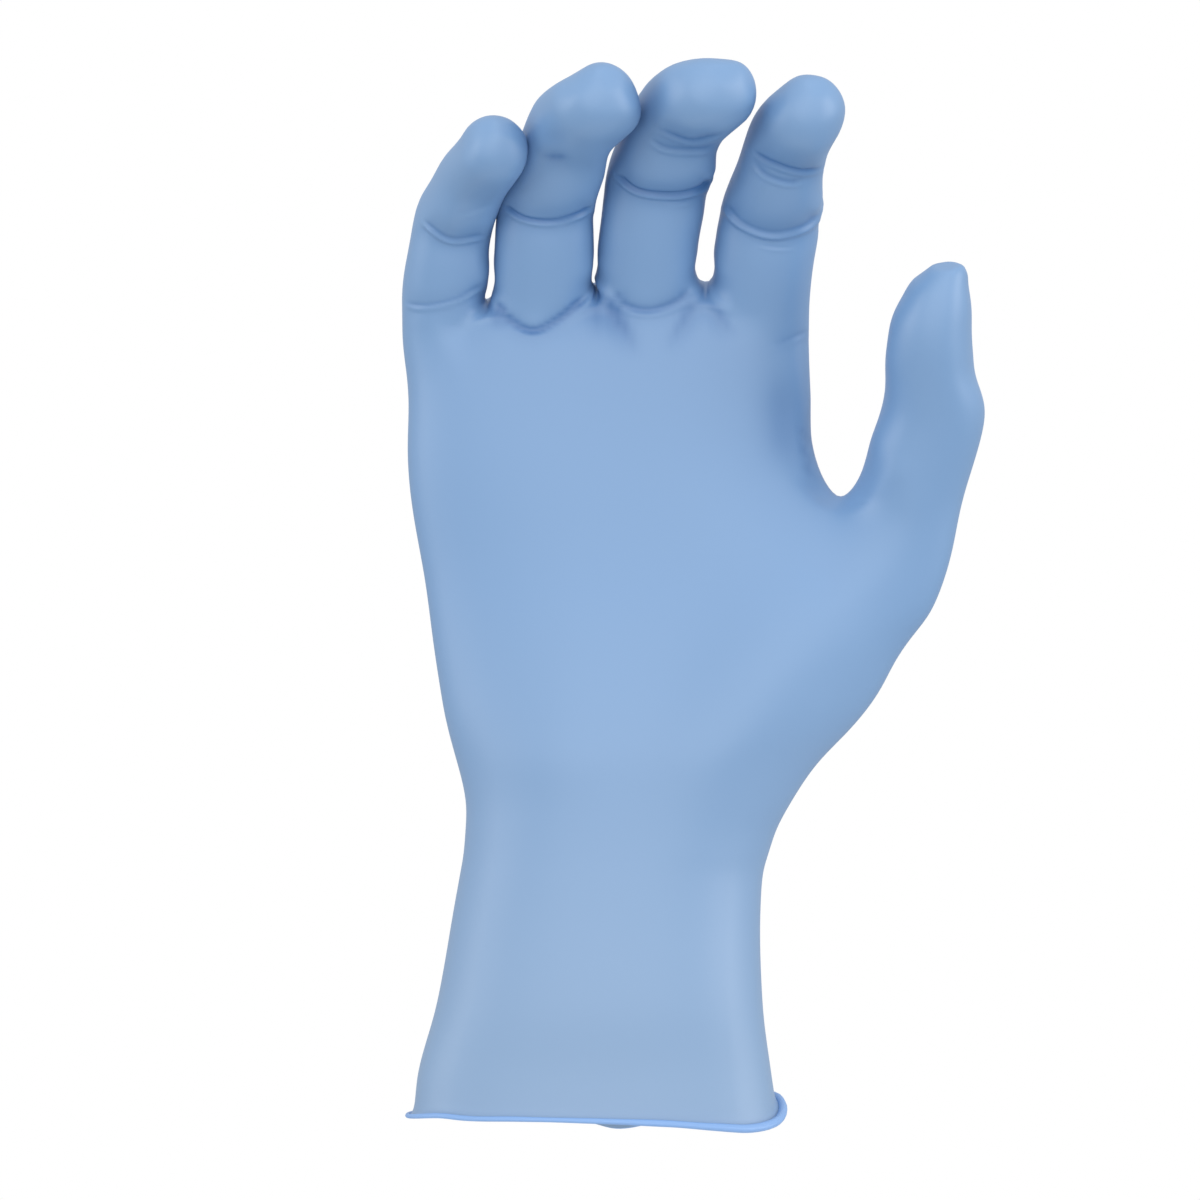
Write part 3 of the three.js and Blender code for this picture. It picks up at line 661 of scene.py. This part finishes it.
FOLDS = [
    # Little finger: base, middle joint and a faint line above it
    fold(0, 0.15, 0.25, 0.45, 0.25, 2.2, 0.12,
         [(-38.3, 163.2), (-33.9, 162.8), (-27.4, 164.2), (-21.8, 167.4)]),
    fold(0, 0.15, 0.35, 0.45, 0.4, 2.5, 0.12, [(-34.6, 180), (-31.6, 177.3), (-28, 175.9), (-21.2, 177)]),
    fold(0, 0.06, 0.08, 0.5, 0, 1, 0.3, [(-28, 181.1), (-24.6, 181.8), (-19.3, 183.8)]),
    # Ring finger: base, middle joint and end joint
    fold(1, 0.45, 0.2, 0.75, 0.4, 2.2, 0.1,
         [(-20.6, 164), (-18, 160.4), (-12.6, 157.5), (-6.7, 160), (-0.4, 165.2)]),
    fold(1, 0.4, 0.35, 0.42, 0.5, 2.6, 0.08,
         [(-18.9, 183.2), (-14.5, 180.3), (-8.5, 179.5), (-3.2, 180.8), (0, 182.6)]),
    fold(1, 0.2, 0, 0.6, 0.6, 2.2, 0.4, [(-11.9, 193.2), (-9.1, 192.2), (-6.9, 192.2), (-4, 193)]),
    fold(1, 0, 0, 1, 0.35, 1.8, 0.4, [(-11.5, 196.3), (-8, 196.6), (-5, 196.4)]),
    # Middle finger: base, middle joint, a faint line below it, and two lines at the end joint
    fold(2, 0.25, 0.3, 0.7, 0.45, 2.2, 0.12,
         [(3.4, 166.4), (6.2, 162.8), (11.3, 161.7), (17, 163.5), (20, 166.4)]),
    fold(2, 0.55, 0.4, 0.42, 0.7, 2.6, 0.08,
         [(3.6, 189.4), (8.5, 185.6), (16.3, 184.7), (21.9, 186), (24, 188.2)]),
    fold(2, 0.06, 0.1, 0.4, 0, 1, 0.4, [(14.9, 183.2), (18.3, 183.3), (22, 184.4)]),
    fold(2, 0.25, 0.2, 0.45, 0.6, 2.6, 0.25, [(11.3, 198.9), (17.7, 195.9), (21.4, 195.7), (27, 197.7)]),
    fold(2, 0.2, 0.18, 0.45, 0, 2, 0.25, [(11, 196.9), (14.3, 194.4), (21.8, 193.9), (25.4, 195.4)]),
    fold(2, 0, 0.3, 0.7, 0, 1, 0.4, [(11.5, 199.5), (13.5, 201.3), (15.6, 202.3)]),
    # Index finger: middle joint, a faint line below it, and two lines at the end joint
    fold(3, 0.15, 0.55, 0.55, 0.5, 2.6, 0.1,
         [(25.8, 183.8), (29, 179.7), (35.5, 177.1), (42.5, 178.5), (45.9, 181.6)]),
    fold(3, 0.05, 0.12, 0.4, 0, 1, 0.4, [(33, 175.2), (36.5, 174.5), (40.9, 174.6)]),
    fold(3, 0.3, 0.2, 0.45, 0.6, 2.6, 0.25, [(31, 194.6), (34.5, 191.8), (41.9, 189.4), (47.2, 190.8)]),
    fold(3, 0.2, 0.18, 0.45, 0, 2, 0.25, [(31.4, 191.8), (34.5, 189), (39.5, 187.4), (42.7, 188.4)]),
    fold(3, 0.1, 0.12, 0.5, 0.2, 2, 0.3, [(35.9, 154.3), (40.5, 156.4), (43.9, 158)]),
    # Palm: creases that run down from the webs, where they are deepest, and the ridges beside them
    fold(None, 0.3, 0, 0.9, 0.4, 1.8, 0.4, [(-21.6, 176), (-21.3, 166), (-20.6, 161.8), (-19, 157)]),
    fold(None, 0.3, 0, 1.1, 1, 2.8, 0.45,
         [(-0.5, 179), (0.4, 169), (1.6, 165), (3.6, 161), (6.2, 156.5), (8.5, 151)]),
    fold(None, 0.12, 0, 1, 0.4, 2, 0.45, [(-0.5, 179), (-0.2, 168), (-0.6, 161), (0, 154)]),
    fold(None, 0, 0.5, 1, 0, 2, 0.45, [(1, 177), (2.6, 168.2), (4.2, 164.4), (7, 160.5), (9.5, 156.5)]),
    fold(None, 0, 0.4, 1, 0, 2, 0.45, [(13, 153), (14.7, 157.5), (17.1, 161.6), (19.7, 165), (22, 174)]),
    fold(None, 0.14, 0, 1, 0.6, 2, 0.45, [(15, 152), (17.4, 157.5), (19.8, 162), (21.5, 166), (22.5, 176)]),
    fold(None, 0, 0.4, 1, 0, 2, 0.45, [(22.5, 177), (24, 166), (26.8, 161.2), (30.6, 157)]),
    fold(None, 0.16, 0, 1, 0.6, 2, 0.45, [(22.3, 178), (23.2, 165), (25.4, 159.8), (28.6, 155)]),
    # The hollow beside the thumb's crotch, and its short wrinkles
    fold(None, 0, 0, 1, 0.7, 4, 0.4, [(39.5, 152), (38.5, 140), (40.5, 128)]),
    fold(None, 0.12, 0.22, 0.7, 0, 1, 0.4, [(40.8, 139), (42.2, 136.8), (43.4, 134)]),
    fold(None, 0.12, 0.22, 0.7, 0, 1, 0.4, [(40.6, 135.6), (42.2, 133.2), (43.7, 130.6)]),
    fold(None, 0.12, 0.22, 0.7, 0, 1, 0.4, [(41.4, 131.6), (42.8, 129.8), (44.3, 127.6)]),
]


def seen(places):
    """Where the camera sees points, as places across and up on the plane through the origin."""
    nearer = CAMERA_DISTANCE / (CAMERA_DISTANCE + places[:, 1])
    middle = np.array([CAMERA_ACROSS, CAMERA_UP])
    return middle + (places[:, [0, 2]] - middle) * nearer[:, None]


# Short stretches between two points of a path
PATH_STEPS = 8


def smooth_path(path):
    """A Catmull-Rom curve through a few points, as many short stretches."""
    path = np.array(path, float)
    ends = np.concatenate([[2 * path[0] - path[1]], path, [2 * path[-1] - path[-2]]])
    t = (np.arange(PATH_STEPS) / PATH_STEPS)[:, None]
    parts = []
    for a, b, c, d in zip(ends, ends[1:], ends[2:], ends[3:]):
        square, cube = 2 * a - 5 * b + 4 * c - d, 3 * b - a - 3 * c + d
        parts.append(0.5 * (2 * b + (c - a) * t + square * t**2 + cube * t**3))
    return np.concatenate([*parts, path[-1:]])


def beside(places, path):
    """How far points lie to the upper side of a curve, and at what share of its length."""
    curve = smooth_path(path)
    nearest = np.full(len(places), np.inf)
    aside, share = np.zeros(len(places)), np.zeros(len(places))
    for k, (a, b) in enumerate(zip(curve, curve[1:])):
        run = b - a
        t = np.clip((places - a) @ run / (run @ run), 0, 1)
        away = places - a - t[:, None] * run
        distance = np.linalg.norm(away, axis=1)
        side = np.where(run[0] * away[:, 1] - run[1] * away[:, 0] >= 0, 1, -1)
        closer = distance < nearest
        nearest[closer] = distance[closer]
        aside[closer] = (distance * side)[closer]
        share[closer] = (k + t[closer]) / (len(curve) - 1)
    return aside, share


def trimmed(points):
    """The net with the outline's small pushes and the knuckles."""
    view = seen(points)
    moved = points.copy()
    for each in TRIMS:
        distance = np.linalg.norm(view - each["at"], axis=1)
        share = np.exp(-((distance / each["reach"]) ** 2))
        if each["of"] is not None:
            share *= points[:, 3 + each["of"]]
        moved[:, [0, 2]] += share[:, None] * each["push"]
    back = smoothstep(points[:, 1], 0, KNUCKLES["behind"])
    for at in KNUCKLES["at"]:
        distance = np.linalg.norm(points[:, [0, 2]] - at, axis=1)
        moved[:, 1] += KNUCKLES["height"] * np.exp(-((distance / KNUCKLES["reach"]) ** 2)) * back
    return moved


# Where the groove and the lip lie, in half widths from the fold's path to its upper side
GROOVE_AT = 0.8
LIP_AT = -0.9
# How many times its spread a fold reaches beyond its path
FOLD_REACH = 3
# How squarely the film has to face the palm side where a fold begins to show, and where it shows in full
FACING = (-0.2, 0.15)
# A crease as deep as FULL_CREASE gets the full painted crease shade, and a hollow counts with SOFT_SHADE of
# its depth as painted shade too
FULL_CREASE = 0.38
SOFT_SHADE = 0.2


def folded(points, faces):
    """The surface with its folds pressed in, and how much painted crease shade each point gets."""
    normals = normals_of(points, faces)
    view = seen(points)
    facing = smoothstep(-normals[:, 1], *FACING)
    depth, crease_shade = np.zeros(len(points)), np.zeros(len(points))
    for each in FOLDS:
        shares = points[:, 3:]
        others = np.delete(shares, each["of"], axis=1) if each["of"] is not None else shares
        own = np.clip(1 - others.sum(1), 0, 1) * facing
        reach = FOLD_REACH * each["spread"]
        low, high = np.min(each["path"], 0) - reach, np.max(each["path"], 0) + reach
        near = np.flatnonzero((own > 0) & np.all((view > low) & (view < high), axis=1))
        aside, share = beside(view[near], each["path"])
        ends = smoothstep(share, 0, each["fade"]) * smoothstep(1 - share, 0, each["fade"])
        groove = each["groove"] * np.exp(-((aside / each["width"] - GROOVE_AT) ** 2))
        lip = each["lip"] * np.exp(-((aside / each["width"] - LIP_AT) ** 2))
        dent = each["dent"] * np.exp(-((aside / each["spread"]) ** 2))
        depth[near] += (lip - groove - dent) * ends * own[near]
        # Painted shade: the groove and a share of the hollow darken the film's colour here
        crease_shade[near] += (groove + SOFT_SHADE * dent) * ends * own[near] / FULL_CREASE
    moved = points.copy()
    moved[:, :3] += normals * depth[:, None]
    return moved, np.clip(crease_shade, 0, 1)


def rim_loop(faces):
    """The points round the opening, in order."""
    _, of_corner, count = edges_of(faces)
    following = {}
    for f, k in np.argwhere(count[of_corner] == 1):
        following[int(faces[f, k])] = int(faces[f, (k + 1) % 4])
    start = min(following)
    loop = [start]
    while following[loop[-1]] != start:
        loop.append(following[loop[-1]])
    return loop


def flat(directions):
    """Directions laid level, of length 1."""
    level = directions * [1, 1, 0]
    return level / np.linalg.norm(level, axis=1, keepdims=True)


def flared(points, faces):
    """The film turned out over its last millimetre, where it runs into the bead."""
    low = points[:, 2] < FLARE_BELOW
    rise = np.zeros(len(points))
    loop = np.array(rim_loop(faces))
    rim = points[loop, :2]
    for k in np.flatnonzero(low):
        rise[k] = points[loop[np.argmin(((rim - points[k, :2]) ** 2).sum(1))], 2]
    turn = np.where(low, FLARE * np.exp(-(points[:, 2] - rise) / FLARE_REACH), 0)
    moved = points.copy()
    moved[:, :3] += flat(normals_of(points, faces)) * turn[:, None]
    return moved


def bead_of(points, faces):
    """The rolled edge of the cuff: a tube round the rim, with the line where the roll ends."""
    loop = rim_loop(faces)
    outward = flat(normals_of(points, faces)[loop])
    centre = points[loop, :3] + outward * (BEAD_OUT - FLARE)
    around = np.arange(len(loop)) / len(loop) * math.tau
    radius = np.array([between(BEAD["across"], BEAD["radius"], x) for x in centre[:, 0]])
    radius *= 1 + sum(wave["height"] * np.sin(wave["count"] * around + wave["start"]) for wave in BEAD_WAVES)
    rings = []
    for turn in np.arange(BEAD_SIDES) / BEAD_SIDES * math.tau:
        line = ROLL_LINE["depth"] * math.exp(-(((turn - ROLL_LINE["at"]) / ROLL_LINE["width"]) ** 2))
        spot = outward * math.cos(turn) + np.array([0, 0, 1]) * math.sin(turn)
        rings.append(centre + spot * (radius * (1 - line))[:, None])
    places = np.concatenate(rings)
    n = len(loop)
    quads = []
    for r in range(BEAD_SIDES):
        following = (r + 1) % BEAD_SIDES
        for k in range(n):
            m = (k + 1) % n
            quads.append([r * n + k, following * n + k, following * n + m, r * n + m])
    return places, np.array(quads)


# Soft round lights, at places in metres, which all point at one place on the glove.
# AMBIENT is the strength of the light from all sides, which grows evenly from below to above.
LIT = Vector((0, 0, 0.1))
AMBIENT = {"below": 0.36, "above": 0.96}
LIGHTS = [
    {"name": "front", "at": (0, -1.9, 0.3), "size": 2.4, "watts": 14.5},
    {"name": "left", "at": (-1.6, -0.6, 0.3), "size": 1.2, "watts": 6.5},
    {"name": "right", "at": (1.6, -0.6, 0.3), "size": 1.2, "watts": 9.5},
    {"name": "top", "at": (0.2, -0.7, 1.7), "size": 1.2, "watts": 2},
]


def mesh_object(name, points, faces, marks):
    """A smooth mesh in metres, with each mark as a value at its points."""
    mesh = bpy.data.meshes.new(name)
    mesh.from_pydata((points[:, :3] * MM).tolist(), [], faces.tolist())
    mesh.polygons.foreach_set("use_smooth", np.ones(len(faces), bool))
    mesh.update()
    for mark, values in marks.items():
        mesh.attributes.new(mark, "FLOAT", "POINT").data.foreach_set("value", values)
    thing = bpy.data.objects.new(name, mesh)
    bpy.context.collection.objects.link(thing)
    return thing


# Colour of the film where it is stretched over the hand, and of the slack film at the cuff.
# The crease colour is painted shade, darker in the creases and the hollows round them, where shade falls.
# Film that is doubled in the bead, where it is rolled up, is deeper in colour.
FILM_COLOUR = (0.171, 0.322, 0.565, 1)
CUFF_COLOUR = (0.205, 0.33, 0.515, 1)
# The crease colour is painted shade; the roll colour is the rolled bead's own colour
MARK_COLOURS = {"crease_shade": (0.06, 0.18, 0.42, 1), "roll": (0.195, 0.37, 0.7, 1)}
# The cuff's colour fades out up to this height
CUFF_FADE = 2 * CUFF_LENGTH
GLOSS = {"Roughness": 0.48, "Specular IOR Level": 1}
# The film's fine grain: cells in a metre, and the bump's strength and height in metres
GRAIN = {"scale": 1100, "detail": 2, "strength": 0.25, "height": 0.00003}


def colour_mix(nodes, colour):
    """A node that mixes its colour A with this one."""
    node = nodes.new("ShaderNodeMix")
    node.data_type = "RGBA"
    node.inputs["B"].default_value = colour
    return node


def nitrile():
    """The film's material: its colour by height and by mark, with painted shade in the creases, a soft gloss
    and a fine grain.
    """
    material = bpy.data.materials.new("nitrile")
    material.use_nodes = True
    nodes, links = material.node_tree.nodes, material.node_tree.links
    shader = nodes["Principled BSDF"]
    for name, value in GLOSS.items():
        shader.inputs[name].default_value = value
    place = nodes.new("ShaderNodeTexCoord")
    parts = nodes.new("ShaderNodeSeparateXYZ")
    slack = nodes.new("ShaderNodeMapRange")
    slack.inputs["From Max"].default_value = CUFF_FADE * MM
    slack.inputs["To Min"].default_value = 1
    slack.inputs["To Max"].default_value = 0
    film = colour_mix(nodes, CUFF_COLOUR)
    film.inputs["A"].default_value = FILM_COLOUR
    links.new(place.outputs["Object"], parts.inputs["Vector"])
    links.new(parts.outputs["Z"], slack.inputs["Value"])
    links.new(slack.outputs["Result"], film.inputs["Factor"])
    # The crease mark mixes in painted shade; the roll mark gives the bead its own deeper colour
    for name, colour in MARK_COLOURS.items():
        mark = nodes.new("ShaderNodeAttribute")
        mark.attribute_name = name
        tint = colour_mix(nodes, colour)
        links.new(film.outputs["Result"], tint.inputs["A"])
        links.new(mark.outputs["Fac"], tint.inputs["Factor"])
        film = tint
    links.new(film.outputs["Result"], shader.inputs["Base Color"])
    grain = nodes.new("ShaderNodeTexNoise")
    grain.inputs["Scale"].default_value = GRAIN["scale"]
    grain.inputs["Detail"].default_value = GRAIN["detail"]
    links.new(place.outputs["Object"], grain.inputs["Vector"])
    bump = nodes.new("ShaderNodeBump")
    bump.inputs["Strength"].default_value = GRAIN["strength"]
    bump.inputs["Distance"].default_value = GRAIN["height"]
    links.new(grain.outputs["Fac"], bump.inputs["Height"])
    links.new(bump.outputs["Normal"], shader.inputs["Normal"])
    return material


def area_light(name, place, size, watts):
    light = bpy.data.lights.new(name, "AREA")
    light.shape = "DISK"
    light.size = size
    light.energy = watts
    thing = bpy.data.objects.new(name, light)
    thing.location = place
    thing.rotation_euler = (LIT - Vector(place)).to_track_quat("-Z", "Y").to_euler()
    bpy.context.collection.objects.link(thing)


def white_world(ambient):
    """White to the camera, and a softer light on the glove."""
    world = bpy.data.worlds.new("studio")
    world.use_nodes = True
    nodes, links = world.node_tree.nodes, world.node_tree.links
    background = nodes["Background"]
    background.inputs["Color"].default_value = (1, 1, 1, 1)
    path = nodes.new("ShaderNodeLightPath")
    direction = nodes.new("ShaderNodeTexCoord")
    parts = nodes.new("ShaderNodeSeparateXYZ")
    soft = nodes.new("ShaderNodeMapRange")
    soft.inputs["From Min"].default_value = -1
    soft.inputs["To Min"].default_value = ambient["below"]
    soft.inputs["To Max"].default_value = ambient["above"]
    links.new(direction.outputs["Generated"], parts.inputs["Vector"])
    links.new(parts.outputs["Z"], soft.inputs["Value"])
    strength = nodes.new("ShaderNodeMix")
    strength.inputs["B"].default_value = 1
    links.new(soft.outputs["Result"], strength.inputs["A"])
    links.new(path.outputs["Is Camera Ray"], strength.inputs["Factor"])
    links.new(strength.outputs["Result"], background.inputs["Strength"])
    bpy.context.scene.world = world


def glove_piece():
    """The outside, the inside and the bead, as one mesh."""
    net, faces = glove_net()
    points = tightened(trimmed(net), faces)
    points, once = refine(points, faces)
    inner = len(points)
    points, faces = refine(points, once)
    points, crease_shade = folded(points, faces)
    points = flared(points, faces)
    bead, bead_faces = bead_of(points, faces)
    outer = points[:inner]
    inside = outer[:, :3] - normals_of(outer, once) * FILM
    parts = [(points[:, :3], faces), (inside, once[:, ::-1]), (bead, bead_faces)]
    places, quads, start = [], [], 0
    for part, part_faces in parts:
        places.append(part)
        quads.append(part_faces + start)
        start += len(part)
    # Only the outside has painted crease shade, and only the bead is rolled
    crease_shade = np.concatenate([crease_shade, np.zeros(start - len(crease_shade))])
    roll = np.zeros(start)
    roll[-len(bead):] = 1
    marks = {"crease_shade": crease_shade, "roll": roll}
    return mesh_object("nitrile_glove", np.concatenate(places), np.concatenate(quads), marks)


# The floor, a round disc below the glove: its middle and radius in metres
FLOOR = {"at": (0.02, 0, -0.06), "radius": 0.16, "corners": 96, "colour": (0.85, 0.85, 0.85, 1)}


def pale_floor():
    bpy.ops.mesh.primitive_circle_add(vertices=FLOOR["corners"], radius=FLOOR["radius"], fill_type="NGON",
                                      location=FLOOR["at"])
    disc = bpy.context.object
    disc.name = "floor"
    pale = bpy.data.materials.new("pale_floor")
    pale.use_nodes = True
    pale.node_tree.nodes["Principled BSDF"].inputs["Base Color"].default_value = FLOOR["colour"]
    disc.data.materials.append(pale)
    return disc


def camera_in_front():
    camera = bpy.data.objects.new("camera", bpy.data.cameras.new("camera"))
    camera.location = (CAMERA_ACROSS * MM, -CAMERA_DISTANCE * MM, CAMERA_UP * MM)
    camera.rotation_euler = (math.pi / 2, 0, 0)
    camera.data.sensor_width = SENSOR_WIDTH
    camera.data.lens = SENSOR_WIDTH * CAMERA_DISTANCE / VIEW_WIDTH
    bpy.context.collection.objects.link(camera)
    return camera


glove = glove_piece()
glove.data.materials.append(nitrile())
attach(glove, "root")
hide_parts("glove")

floor = pale_floor()

white_world(AMBIENT)
for light in LIGHTS:
    area_light(light["name"], light["at"], light["size"], light["watts"])

bpy.context.scene.camera = camera_in_front()
bpy.context.scene.view_settings.view_transform = "Standard"
